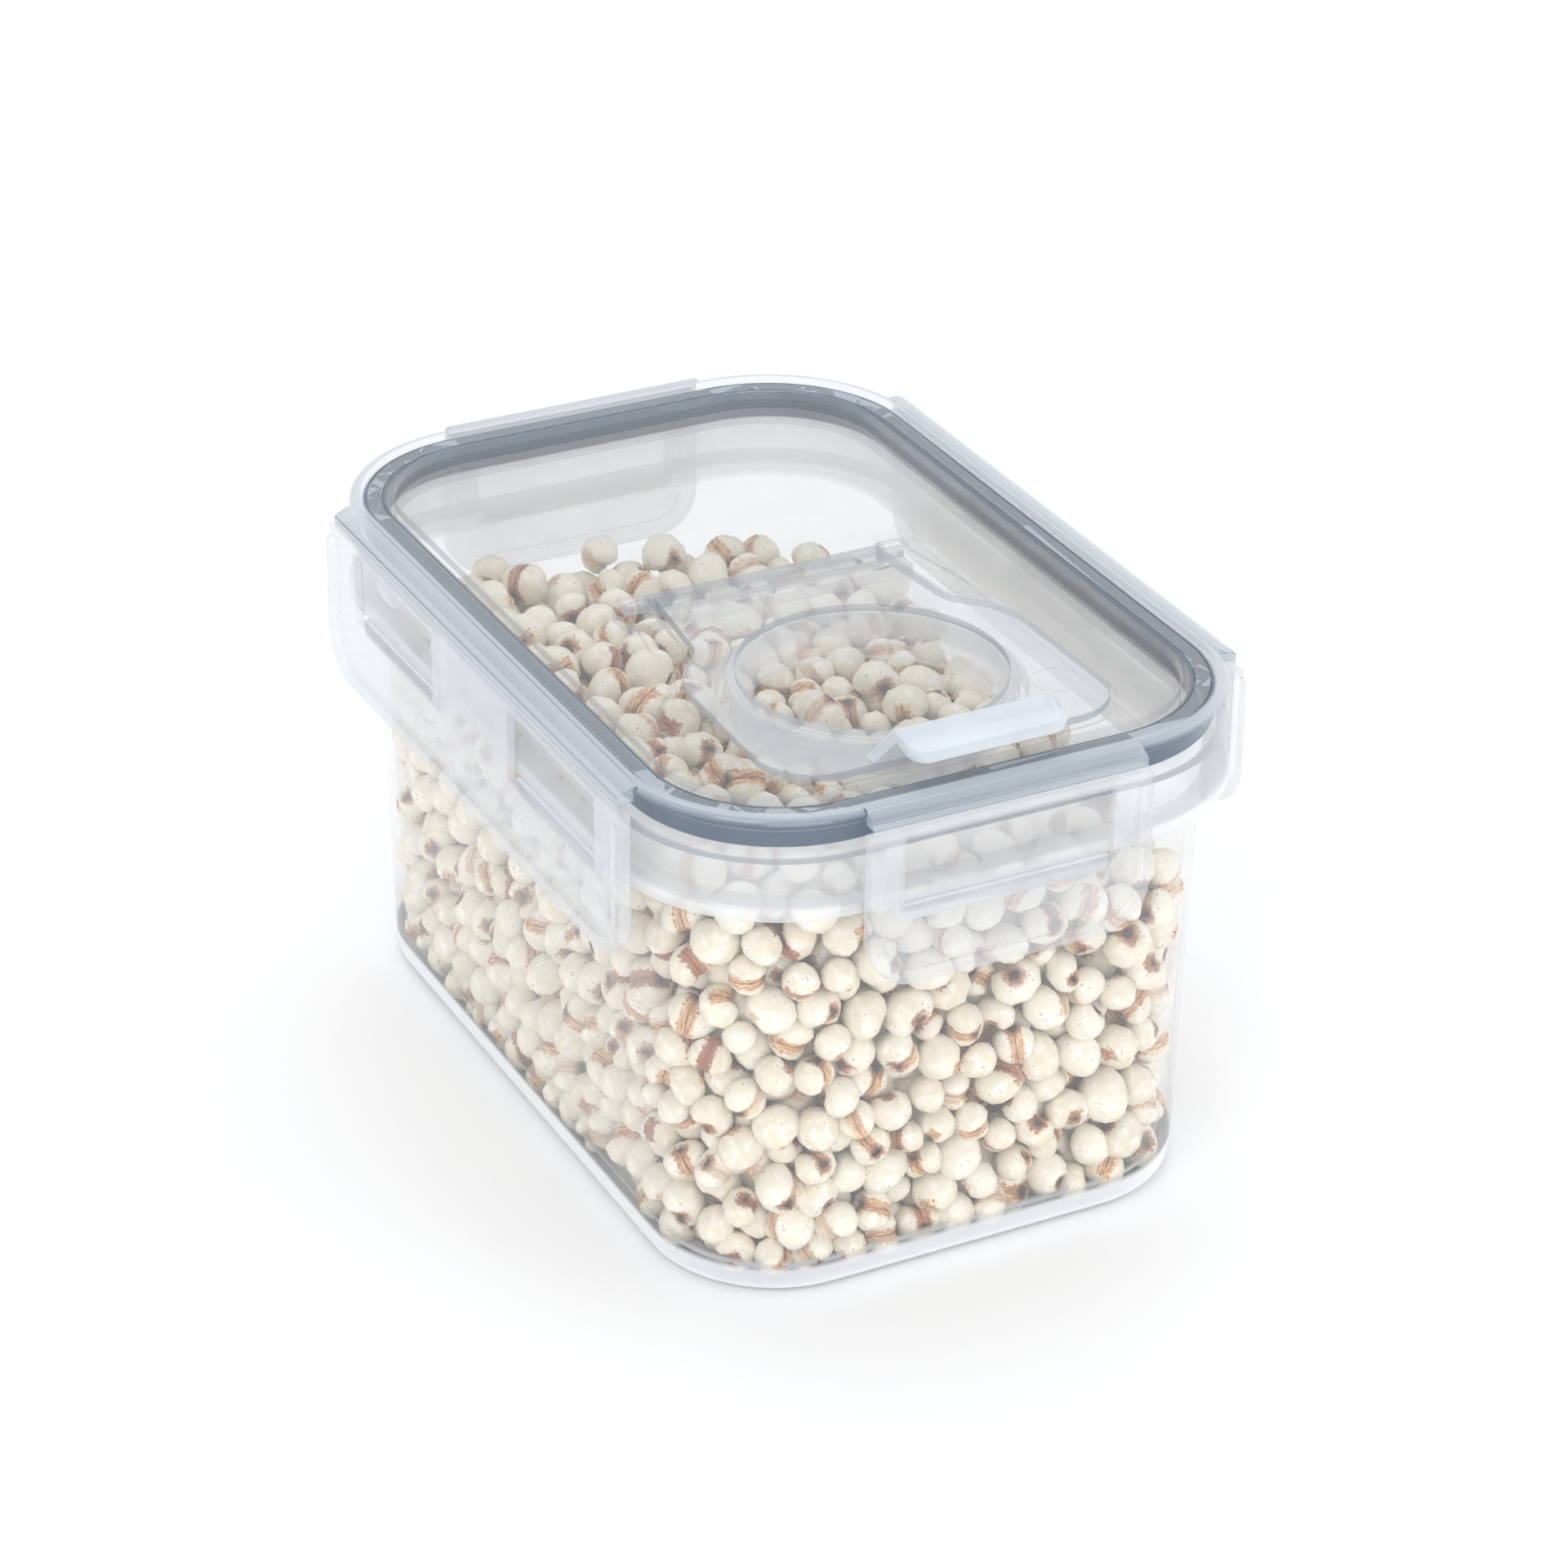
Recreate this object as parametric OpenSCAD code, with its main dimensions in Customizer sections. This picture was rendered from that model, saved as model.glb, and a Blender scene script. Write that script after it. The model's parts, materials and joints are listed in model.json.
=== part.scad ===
// Clear food canister: a tapered tub with a four-latch snap lid. The lid holds a
// soft gasket ring and a hinged pour flap whose plug closes the spout.
//
// The part stands on z = 0, centred on the Z axis. The long side runs along Y,
// and the thumb tab of the flap points to -Y, which is the front.
//
// Walls and rings are swept round four shared corner centres, so a "corner
// radius" below is a distance from those centres, and it also places the
// straight runs between them.

/* [Overall] */
// Width of the lid across its skirt, left to right
lid_width = 105; // [90:1:160]
// Length of the lid across its skirt, front to back
lid_length = 155; // [140:1:240]
// Height of the lid's rim above the table
rim_height = 89.3; // [70:0.1:200]
// Outer corner radius of the lid
lid_corner_r = 27.8; // [24:0.1:32]

/* [Tub] */
// Inset of the tub's mouth from the lid's skirt
mouth_inset = 3.65; // [3.3:0.05:4.2]
// How far each wall leans in from mouth to base
wall_lean = 2.05; // [0:0.05:4]
// Thickness of the tub's wall
tub_wall = 1.6; // [1.2:0.1:2.2]
// Thickness of the tub's floor
floor_t = 2; // [1.4:0.1:4]
// Radius round the outside of the base
base_fillet = 2.4; // [1:0.1:5]
// Radius between floor and wall on the inside
floor_fillet = 3.6; // [1:0.1:8]
// Depth of the flange's underside below the lid's rim
flange_drop = 17.5; // [15:0.1:24]
// Height of the flange's outer lip
flange_h = 2.5; // [2:0.1:4]
// Thickness of the flange's top and of its lip
flange_t = 1.3; // [1:0.1:1.8]
// How far the flange stands out past the lid's skirt
flange_reach = 0.5; // [0:0.1:1]

/* [Lid] */
// Depth of the skirt below the rim
skirt_drop = 7.8; // [6.5:0.1:10]
// Thickness of the skirt
skirt_t = 2.2; // [1.4:0.1:2.6]
// Thickness of the rim over the gasket
rim_t = 1; // [0.8:0.1:2]
// Thickness of the wall on the inner side of the gasket
inner_wall_t = 1.3; // [1:0.1:2]
// Depth of that inner wall below the rim
inner_wall_drop = 6.9; // [4:0.1:9]
// Depth of the panel's top below the rim
panel_drop = 2; // [1:0.1:3]
// Thickness of the panel
panel_t = 1.6; // [1.2:0.1:2.4]
// Radius of the rim's outer top edge
rim_round = 1.6; // [0.4:0.1:2]
// Depth of the shallow pocket that the flap lies in
pocket_depth = 0.5; // [0.2:0.1:0.8]
// Gap between the flap's edge and the pocket's wall
pocket_gap = 1.2; // [0.6:0.1:1.2]

/* [Gasket] */
// Width of the gasket ring
gasket_w = 3.9; // [3.2:0.1:5]
// Height of the gasket ring
gasket_h = 5.1; // [4:0.1:6]
// How deep the tub's mouth sits in the gasket
gasket_bite = 1; // [0.5:0.1:1.6]
// Gap between the gasket and the skirt
gasket_gap = 0.2; // [0.1:0.05:0.5]

/* [Latches] */
// Height of a latch panel below its hinge
latch_h = 27; // [24:0.5:36]
// Thickness of a latch panel
latch_t = 1.6; // [1.2:0.1:2.2]
// Distance from the skirt to a latch's outer face
latch_stand = 2.6; // [2.3:0.1:3.4]
// Distance of a short latch's ends from the lid's sides
short_latch_inset = 27.8; // [22:0.1:34]
// Distance of a long latch's ends from the lid's ends
long_latch_inset = 19.9; // [16:0.1:28]
// Radius of a latch panel's lower corners
latch_corner_r = 8.5; // [4:0.5:10]
// Width of the raised border on a latch
border_w = 2.5; // [1.5:0.1:3]
// Height of the raised border on a latch
border_h = 0.9; // [0.4:0.1:1.2]
// Distance from a latch's top edge to its window
window_top = 2; // [1.5:0.1:4]
// Distance from a short latch's end to its window
short_window_margin = 6.4; // [5:0.1:9]
// Distance from a long latch's end to its outer window edge
long_window_margin = 10.4; // [8:0.1:14]
// Length of the bridge between a long latch's two windows
window_bridge = 30.6; // [10:0.1:40]
// How far a catch lip reaches in from the panel
lip_reach = 2.4; // [1.5:0.1:2.6]
// Height of a catch lip
lip_h = 2.8; // [1.5:0.1:4]
// Gap between a catch lip and the flange
lip_gap = 0.1; // [0.05:0.05:0.3]

/* [Living hinges] */
// Thickness of the flexing web
web_t = 0.35; // [0.25:0.05:0.6]
// Height of the flexing web
web_h = 0.7; // [0.6:0.05:1.2]
// Height of the rib that the web hangs from
rib_h = 2.7; // [2:0.1:4]
// How far the rib ends short of a long latch's end
long_rib_inset = 2.1; // [0:0.1:4]
// How far the rib ends short of a short latch's end
short_rib_inset = 0.7; // [0:0.1:4]

/* [Spout and flap] */
// Radius of the spout hole through the lid
spout_r = 23.6; // [18:0.1:26]
// Gap all round the plug in the spout
plug_gap = 0.3; // [0.2:0.05:0.6]
// Distance from the lid's front to the spout's centre
spout_setback = 43; // [38:0.5:50]
// Depth of the plug below the lid's rim
plug_drop = 10.3; // [8:0.1:14]
// How much the plug narrows to its end, on radius
plug_taper = 0.8; // [0.6:0.1:2]
// Thickness of the plug's wall and floor
plug_t = 1.4; // [1:0.1:2]
// Wall of the collar that guides the plug
collar_t = 1.4; // [1:0.1:2]
// Depth of the collar below the rim
collar_drop = 7.3; // [5:0.1:9]
// Thickness of the flap's plate
flap_t = 1.6; // [1.2:0.1:2]
// Gap under the flap's plate
flap_gap = 0.3; // [0.2:0.05:0.6]
// Width of the flap's wide part
flap_w = 61.6; // [56:0.1:66]
// Width of the flap at its hinge
neck_w = 41.2; // [34:0.1:46]
// Distance from the spout's centre to where the neck starts to widen
neck_end = 20; // [16:0.5:24]
// Radius of the hollow curve where the neck widens
neck_fillet = 7; // [4:0.5:10]
// Distance from the spout's centre to the flap's front edge
flap_front = 29.5; // [27:0.1:34]
// Radius of the flap's front corners
flap_corner_r = 10; // [4:0.5:14]
// Distance from the spout's centre to the flap's hinge axis
hinge_setback = 37.8; // [34:0.1:46]
// Radius of the flap's hinge bar
bar_r = 1.8; // [1.5:0.1:2.1]
// Radius of the flap's hinge pins
pin_r = 1; // [0.7:0.05:1.2]
// Running gap round a hinge pin
pin_gap = 0.05; // [0.02:0.01:0.1]
// Length of a hinge pin
pin_len = 3.9; // [2:0.1:5]
// Width of a hinge ear
ear_w = 4.4; // [3:0.1:6]
// Gap between the flap's bar and an ear
ear_gap = 0.3; // [0.2:0.05:0.6]

/* [Thumb tab] */
// Width of the thumb tab
tab_w = 27.6; // [18:0.1:34]
// Width of the ramp's foot, where it leaves the flap
tab_foot_w = 34; // [24:0.1:40]
// Length of the tab past its ramp
tab_len = 8; // [5:0.1:10]
// Height of the tab's top above the lid's rim
tab_rise = 6.2; // [4:0.1:9]
// Thickness of the tab
tab_t = 2.2; // [1.4:0.1:3]

/* [Hidden] */
$fn = 96;

clear_pp = [0.86, 0.88, 0.9, 0.45];
milky_pp = [0.88, 0.92, 0.96, 0.7];
silicone = [0.4, 0.48, 0.56];

// How far a cutting shape runs past the face that it cuts
cut = 1;

// The shared corner centres
core_x = lid_width / 2 - lid_corner_r;
core_y = lid_length / 2 - lid_corner_r;

// Tub
mouth_r = lid_corner_r - mouth_inset;
base_r = mouth_r - wall_lean;
flange_r = lid_corner_r + flange_reach;
flange_bottom = rim_height - flange_drop;

// Gasket and the channel that holds it
channel_top = rim_height - rim_t;
channel_out = lid_corner_r - skirt_t;
gasket_out = channel_out - gasket_gap;
gasket_in = gasket_out - gasket_w;
channel_in = gasket_in - gasket_gap / 2;
gasket_bottom = channel_top - gasket_h;
mouth_z = gasket_bottom + gasket_bite;

// Lid panel
recess_r = channel_in - inner_wall_t;
panel_top = rim_height - panel_drop;
panel_bottom = panel_top - panel_t;
pocket_floor = panel_top - pocket_depth;
recess_round = 0.6;

// Latches, measured outwards from the skirt's face
latch_face = latch_stand;
latch_back_face = latch_face - latch_t;
lip_edge = 0.6;
lip_toe = 0.4;

// Ribs: flat beside the rim, then a slope down to a drop before the outer face
rib_land = 0.3;
rib_slope = [1.7, 0.7];
rib_drop = 1.7;
rib_bottom = rim_height - rib_h;
latch_top = rib_bottom - web_h;
window_top_z = latch_top - window_top;
lip_top = flange_bottom - lip_gap;
short_len = lid_width - 2 * short_latch_inset;
long_len = lid_length - 2 * long_latch_inset;
short_windows = [[0, short_len - 2 * short_window_margin]];
long_window_len = (long_len - 2 * long_window_margin - window_bridge) / 2;
long_window_mid = (window_bridge + long_window_len) / 2;
long_windows = [[-long_window_mid, long_window_len], [long_window_mid, long_window_len]];

// Flap
spout_y = spout_setback - lid_length / 2;
hinge_y = spout_y + hinge_setback;
flap_bottom = pocket_floor + flap_gap;
flap_top = flap_bottom + flap_t;
hinge_z = flap_top - bar_r;
neck_flare = 1.9;
shoulder_turn = 50;
side_turn = 5;
side_flare = 0.5;
trough_gap = 0.4;
trough_r = bar_r + trough_gap;
trough_wall = 1.2;
swing_room = 0.8;
bar_half = neck_w / 2 + 1;
ear_in = bar_half + ear_gap;
ear_r = trough_r;
plug_r = spout_r - plug_gap;
plug_bottom = rim_height - plug_drop;
collar_bottom = rim_height - collar_drop;
front_y = spout_y - flap_front;

// Lugs beside the flap's neck, and the disc where the moulding was filled
lug_r = 2.8;
lug_h = 0.9;
lug_x = neck_w / 2 + 5.6;
lug_y = spout_y + neck_end + 1;
gate_r = 2.4;
gate_h = 0.4;
gate_y = hinge_y + 8;

// Thumb tab: a ramp up from the flap's front edge, then a tongue over the rim
ramp_run = 4.6;
tab_top = rim_height + tab_rise;
ramp_y = front_y + tab_t;
ramp_rise = tab_top - flap_top;
ramp_angle = atan2(ramp_rise, ramp_run);
ramp_len = norm([ramp_rise, ramp_run]);
tab_corner_r = 3;
tab_dip = 8;

// Points on an arc in a section, n steps from angle a to angle b
function arc(c, r, a, b, n = 8) =
    [for (i = [0:n]) c + r * [cos(a + (b - a) * i / n), sin(a + (b - a) * i / n)]];

// The same outline on both sides of the Y axis
function both_sides(half) =
    concat(half, [for (i = [len(half) - 1:-1:0]) [-half[i].x, half[i].y]]);

// Right half of the flap's outline, grown by g, from the hinge to the front
function flap_half(g) =
    let (
        turn = [cos(shoulder_turn), sin(shoulder_turn)],
        hollow = [neck_w / 2 + neck_flare + neck_fillet, spout_y + neck_end],
        join = hollow - neck_fillet * turn,
        shoulder_r = (flap_w / 2 - side_flare - join.x) / (cos(side_turn) - turn.x)
    )
    concat(
        [[neck_w / 2 + g, hinge_y]],
        arc(hollow, neck_fillet - g, 180, 180 + shoulder_turn),
        arc(join - shoulder_r * turn, shoulder_r + g, shoulder_turn, side_turn),
        arc([flap_w / 2 - flap_corner_r, front_y + flap_corner_r], flap_corner_r + g, 0, -90)
    );

// Filled plan with corner radius r about the shared centres
module plan(r) {
    square([2 * core_x, 2 * (core_y + r)], center = true);
    square([2 * (core_x + r), 2 * core_y], center = true);
    for (x = [-core_x, core_x], y = [-core_y, core_y])
        translate([x, y]) circle(r);
}

// Plate of that plan between two heights
module slab(r, z0, z1) {
    translate([0, 0, z0]) linear_extrude(z1 - z0) plan(r);
}

// Sweeps a section of (distance from the centres, height) right round the plan
module around() {
    corners = [[1, 1, 0], [-1, 1, 90], [-1, -1, 180], [1, -1, 270]];
    for (c = corners)
        translate([c[0] * core_x, c[1] * core_y, 0])
            rotate([0, 0, c[2]]) rotate_extrude(angle = 90) children();
    for (turn = [0, 180])
        rotate([0, 0, turn]) run(core_x, 2 * core_y) children();
    for (turn = [90, 270])
        rotate([0, 0, turn]) run(core_y, 2 * core_x) children();
}

// One straight run of a section, at distance d from the middle
module run(d, length) {
    translate([d, length / 2, 0])
        rotate([90, 0, 0]) linear_extrude(length) children();
}

// Puts a piece made for the front, its skirt at y = 0, on the named side
module on_side(side) {
    turn = side == "front" ? 0 : side == "right" ? 90 : side == "back" ? 180 : -90;
    long_side = side == "left" || side == "right";
    rotate([0, 0, turn])
        translate([0, -(long_side ? lid_width : lid_length) / 2, 0])
            children();
}

function side_len(side) = side == "left" || side == "right" ? long_len : short_len;
function side_windows(side) = side == "left" || side == "right" ? long_windows : short_windows;
function rib_len(side) =
    side_len(side) - 2 * (side == "left" || side == "right" ? long_rib_inset : short_rib_inset);

// ---- Tub ----

module container() {
    floor_r = base_r - tub_wall - floor_fillet;
    lean = wall_lean / mouth_z;
    flange_top = flange_bottom + flange_h;
    lip_round = 0.6;
    mouth_round = 0.5;
    outside = concat(
        [[floor_r, 0]],
        arc([base_r - base_fillet, base_fillet], base_fillet, -90, 0),
        [
            [base_r + lean * (flange_top - flange_t), flange_top - flange_t],
            [flange_r - flange_t, flange_top - flange_t],
            [flange_r - flange_t, flange_bottom],
            [flange_r, flange_bottom]
        ],
        arc([flange_r - lip_round, flange_top - lip_round], lip_round, 0, 90, 4),
        [[base_r + lean * flange_top, flange_top]],
        arc([mouth_r - mouth_round, mouth_z - mouth_round], mouth_round, 0, 90, 4)
    );
    inside = concat(
        [[mouth_r - tub_wall, mouth_z]],
        arc([base_r - tub_wall - floor_fillet, floor_t + floor_fillet], floor_fillet, 0, -90)
    );
    color(clear_pp) {
        around() polygon(concat(outside, inside));
        slab(floor_r, 0, floor_t);
    }
}

// ---- Lid ----

module lid() {
    color(clear_pp) difference() {
        union() {
            lid_shell();
            for (side = ["front", "back", "left", "right"])
                hinge_rib(side);
            translate([0, spout_y, collar_bottom])
                cylinder(r = spout_r + collar_t, h = panel_bottom - collar_bottom + pocket_depth);
            hinge_seat();
            for (s = [-1, 1])
                scale([s, 1, 1]) hinge_ear();
            gate_mark();
        }
        translate([0, 0, pocket_floor])
            linear_extrude(panel_drop + pocket_depth)
                polygon(both_sides(flap_half(pocket_gap)));
        translate([0, spout_y, collar_bottom - cut])
            cylinder(r = spout_r, h = rim_height - collar_bottom + cut);
        translate([0, hinge_y, hinge_z]) rotate([0, 90, 0])
            cylinder(r = trough_r, h = 2 * ear_in, center = true);
        // Room behind the bar for the flap when it stands open
        translate([-ear_in, hinge_y - cut, pocket_floor])
            cube([2 * ear_in, cut + trough_r + swing_room, rim_height]);
        translate([0, hinge_y, hinge_z]) rotate([0, 90, 0])
            cylinder(r = pin_r + pin_gap, h = 2 * (bar_half + pin_len + ear_gap), center = true);
    }
}

module lid_shell() {
    middle_r = recess_r - 4;
    section = concat(
        [
            [middle_r, panel_bottom],
            [recess_r, panel_bottom],
            [recess_r, rim_height - inner_wall_drop],
            [channel_in, rim_height - inner_wall_drop],
            [channel_in, channel_top],
            [channel_out, channel_top],
            [channel_out, rim_height - skirt_drop],
            [lid_corner_r, rim_height - skirt_drop]
        ],
        arc([lid_corner_r - rim_round, rim_height - rim_round], rim_round, 0, 90, 5),
        arc([recess_r + recess_round, rim_height - recess_round], recess_round, 90, 180, 4),
        [[recess_r, panel_top], [middle_r, panel_top]]
    );
    around() polygon(section);
    slab(middle_r, panel_bottom, panel_top);
}

// Rib along the skirt that a latch's living hinge hangs from
module hinge_rib(side) {
    root = skirt_t / 2;
    section = [
        [root, 0], [-rib_land, 0], [-rib_slope.x, -rib_slope.y], [-latch_face, -rib_drop],
        [-latch_face, -rib_h], [root, -rib_h]
    ];
    difference() {
        on_side(side)
            translate([-rib_len(side) / 2, 0, rim_height]) rotate([90, 0, 90])
                linear_extrude(rib_len(side)) polygon(section);
        slab(lid_corner_r - root, rim_height - rib_h - cut, rim_height + cut);
    }
}

// Thicker strip under the panel that takes the trough for the flap's bar
module hinge_seat() {
    half_w = trough_r + trough_wall;
    bottom = hinge_z - trough_r - trough_wall;
    translate([-(ear_in + ear_w), hinge_y - half_w, bottom])
        cube([2 * (ear_in + ear_w), 2 * half_w, panel_bottom - bottom + pocket_depth]);
}

// Right-hand ear: a bored knuckle on a rounded lug beside the flap's neck
module hinge_ear() {
    translate([ear_in, hinge_y, hinge_z]) rotate([0, 90, 0])
        cylinder(r = ear_r, h = ear_w);
    translate([ear_in, hinge_y - ear_r, panel_bottom])
        cube([ear_w, 2 * ear_r, hinge_z - panel_bottom]);
    translate([0, 0, panel_bottom])
        linear_extrude(panel_t + lug_h) polygon(concat(
            [[ear_in, hinge_y + ear_r]],
            [[ear_in + ear_w, hinge_y + ear_r], [ear_in + ear_w, hinge_y - ear_r]],
            arc([lug_x, lug_y], lug_r, 10, -160),
            [[ear_in, lug_y]]
        ));
}

// Small raised disc where the moulding was filled
module gate_mark() {
    translate([0, gate_y, panel_bottom])
        cylinder(r = gate_r, h = panel_t + gate_h);
}

module lid_gasket() {
    groove_w = tub_wall + 0.4;
    groove_mid = mouth_r - tub_wall / 2;
    color(silicone) around() polygon([
        [gasket_in, gasket_bottom],
        [groove_mid - groove_w / 2, gasket_bottom],
        [groove_mid - groove_w / 2, mouth_z],
        [groove_mid + groove_w / 2, mouth_z],
        [groove_mid + groove_w / 2, gasket_bottom],
        [gasket_out, gasket_bottom],
        [gasket_out, channel_top],
        [gasket_in, channel_top]
    ]);
}

// ---- Pour flap ----

module pour_flap() {
    color(milky_pp) {
        difference() {
            translate([0, 0, flap_bottom])
                linear_extrude(flap_t) polygon(both_sides(flap_half(0)));
            translate([0, spout_y, flap_bottom - cut])
                cylinder(r = plug_r - plug_t, h = flap_t + 2 * cut);
        }
        translate([0, hinge_y, hinge_z]) rotate([0, 90, 0])
            cylinder(r = bar_r, h = 2 * bar_half, center = true);
    }
}

// Cup that hangs from the flap and closes the spout
module flap_plug() {
    depth = flap_bottom - plug_bottom;
    floor_r = plug_r - plug_taper;
    color(milky_pp) translate([0, spout_y, plug_bottom]) rotate_extrude() polygon([
        [0, 0],
        [floor_r, 0],
        [plug_r, depth],
        [plug_r - plug_t, depth],
        [floor_r - plug_t + plug_taper * plug_t / depth, plug_t],
        [0, plug_t]
    ]);
}

module thumb_tab() {
    color(milky_pp) intersection() {
        union() {
            translate([0, ramp_y, flap_top]) rotate([180 - ramp_angle, 0, 0])
                translate([0, -tab_t, 0]) linear_extrude(tab_t) tab_ramp();
            translate([0, ramp_y - ramp_run, tab_top]) rotate([tab_dip, 0, 0])
                translate([0, 0, -tab_t]) linear_extrude(tab_t) tab_tongue();
        }
        translate([-tab_foot_w, -lid_length, flap_top])
            cube([2 * tab_foot_w, 2 * lid_length, rim_height]);
    }
}

// Flat outline of the ramp, wide at its foot
module tab_ramp() {
    half = tab_w / 2;
    foot = tab_foot_w / 2;
    top = ramp_len + tab_t;
    polygon([[-foot, 0], [foot, 0], [half, top], [-half, top]]);
}

// Flat outline of the tongue, with round front corners
module tab_tongue() {
    half = tab_w / 2;
    straight = tab_len - tab_corner_r;
    translate([-half, -straight]) square([tab_w, straight]);
    translate([tab_corner_r - half, -tab_len]) square([tab_w - 2 * tab_corner_r, tab_len]);
    for (s = [-1, 1])
        translate([s * (half - tab_corner_r), -straight]) circle(tab_corner_r);
}

module flap_pin(s) {
    color(milky_pp) translate([s * bar_half, hinge_y, hinge_z]) rotate([0, 90 * s, 0])
        cylinder(r = pin_r, h = pin_len);
}

module flap_pin_left() { flap_pin(-1); }
module flap_pin_right() { flap_pin(1); }

// ---- Latches ----

// Flat outline of a latch, top edge at y = 0, with rounded lower corners
module latch_outline(length, inset) {
    half = length / 2 - inset;
    r = latch_corner_r - inset;
    low = inset - latch_h;
    translate([-half, low + r]) square([2 * half, -low - r]);
    translate([-half + r, low]) square([2 * (half - r), -low]);
    for (x = [-half + r, half - r])
        translate([x, low + r]) circle(r);
}

// Stands a flat latch shape up on the outside of the skirt
module stand_up(face, thickness) {
    translate([0, -face, latch_top]) rotate([90, 0, 0])
        translate([0, 0, -thickness]) linear_extrude(thickness) children();
}

module latch(side) {
    length = side_len(side);
    border_top = window_top + border_w / 2;
    color(milky_pp) on_side(side) {
        difference() {
            stand_up(latch_face, latch_t) latch_outline(length, 0);
            for (w = side_windows(side))
                translate([w[0] - w[1] / 2, -latch_face - cut, lip_top])
                    cube([w[1], latch_t + 2 * cut, window_top_z - lip_top]);
        }
        stand_up(latch_face + border_h, border_h) {
            difference() {
                latch_outline(length, 0);
                latch_outline(length, border_w);
                translate([-length, -border_top]) square([2 * length, border_top + cut]);
            }
            for (s = [-1, 1])
                translate([s * (length - border_w) / 2, -border_top]) circle(d = border_w);
        }
    }
}

module latch_front() { latch("front"); }
module latch_back() { latch("back"); }
module latch_left() { latch("left"); }
module latch_right() { latch("right"); }

// Wedge lips under the windows, flat on top where they hold the flange
module catch_lips(side) {
    section = [
        [0, 0], [lip_reach, 0], [lip_reach, -lip_edge], [lip_toe, -lip_h], [0, -lip_h]
    ];
    color(milky_pp) on_side(side)
        for (w = side_windows(side))
            translate([w[0] - w[1] / 2, -latch_back_face, lip_top]) rotate([90, 0, 90])
                linear_extrude(w[1]) polygon(section);
}

module catch_lip_front() { catch_lips("front"); }
module catch_lip_back() { catch_lips("back"); }
module catch_lips_left() { catch_lips("left"); }
module catch_lips_right() { catch_lips("right"); }

// Thin web between the rib and the latch panel
module living_hinge(side) {
    color(milky_pp) on_side(side)
        translate([-rib_len(side) / 2, -latch_face, latch_top])
            cube([rib_len(side), web_t, web_h]);
}

module living_hinge_front() { living_hinge("front"); }
module living_hinge_back() { living_hinge("back"); }
module living_hinge_left() { living_hinge("left"); }
module living_hinge_right() { living_hinge("right"); }

container();
lid();
lid_gasket();
pour_flap();
flap_plug();
thumb_tab();
flap_pin_left();
flap_pin_right();
latch_front();
latch_back();
latch_left();
latch_right();
catch_lip_front();
catch_lip_back();
catch_lips_left();
catch_lips_right();
living_hinge_front();
living_hinge_back();
living_hinge_left();
living_hinge_right();
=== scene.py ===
"""Looks of a clear food canister: a moulded tub with a four-latch lid, a gasket ring
and a hinged pour flap, shown with Job's tears kernels inside. All sizes in metres."""

import json
import math

import bmesh
import bpy
import numpy as np
from mathutils import Matrix, Quaternion, Vector


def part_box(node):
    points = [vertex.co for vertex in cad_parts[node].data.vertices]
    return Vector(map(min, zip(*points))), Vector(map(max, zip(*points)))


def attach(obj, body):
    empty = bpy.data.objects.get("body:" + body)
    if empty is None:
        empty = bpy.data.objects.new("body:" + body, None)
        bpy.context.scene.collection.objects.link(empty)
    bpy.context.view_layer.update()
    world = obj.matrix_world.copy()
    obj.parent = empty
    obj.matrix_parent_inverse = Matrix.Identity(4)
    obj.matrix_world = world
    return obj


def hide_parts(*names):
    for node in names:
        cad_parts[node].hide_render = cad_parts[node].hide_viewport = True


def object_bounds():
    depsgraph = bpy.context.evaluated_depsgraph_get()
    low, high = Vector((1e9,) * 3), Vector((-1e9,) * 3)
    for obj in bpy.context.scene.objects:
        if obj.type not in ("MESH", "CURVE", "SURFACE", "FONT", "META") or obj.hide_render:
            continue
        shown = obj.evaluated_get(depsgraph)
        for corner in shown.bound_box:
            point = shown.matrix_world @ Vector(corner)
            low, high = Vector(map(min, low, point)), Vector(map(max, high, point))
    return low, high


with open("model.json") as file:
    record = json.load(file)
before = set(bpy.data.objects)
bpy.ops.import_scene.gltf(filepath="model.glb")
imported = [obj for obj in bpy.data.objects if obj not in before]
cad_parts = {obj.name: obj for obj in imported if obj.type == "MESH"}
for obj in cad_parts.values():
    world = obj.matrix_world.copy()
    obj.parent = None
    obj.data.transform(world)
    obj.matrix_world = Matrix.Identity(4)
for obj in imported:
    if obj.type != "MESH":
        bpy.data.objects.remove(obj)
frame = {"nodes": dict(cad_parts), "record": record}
CAD_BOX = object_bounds()
MM = 0.001

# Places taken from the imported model
GASKET_LOW, GASKET_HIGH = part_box("lid_gasket")
PLUG_LOW, PLUG_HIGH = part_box("flap_plug")
RIM_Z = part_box("lid")[1].z
MOUTH_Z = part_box("container")[1].z
FLAP_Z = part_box("pour_flap")[1].z

# The tub's and the lid's rings share four corner centres
GASKET_OUT_R = 25.4 * MM
GASKET_IN_R = 21.5 * MM
CORE_X = GASKET_HIGH.x - GASKET_OUT_R
CORE_Y = GASKET_HIGH.y - GASKET_OUT_R
SKIRT_R = 27.8 * MM
MOUTH_IN_R = 22.55 * MM
BASE_IN_R = 20.5 * MM
FLOOR_TOP = 2.0 * MM


# ---- Materials ----


def tone(code):
    """Linear colour of an sRGB hex value."""
    parts = [int(code[i:i + 2], 16) / 255 for i in (0, 2, 4)]
    return [c / 12.92 if c <= 0.04045 else ((c + 0.055) / 1.055) ** 2.4 for c in parts] + [1.0]


def blank(name):
    """An empty node material, with its tree."""
    material = bpy.data.materials.new(name)
    material.use_nodes = True
    material.node_tree.nodes.clear()
    return material, material.node_tree


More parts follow.
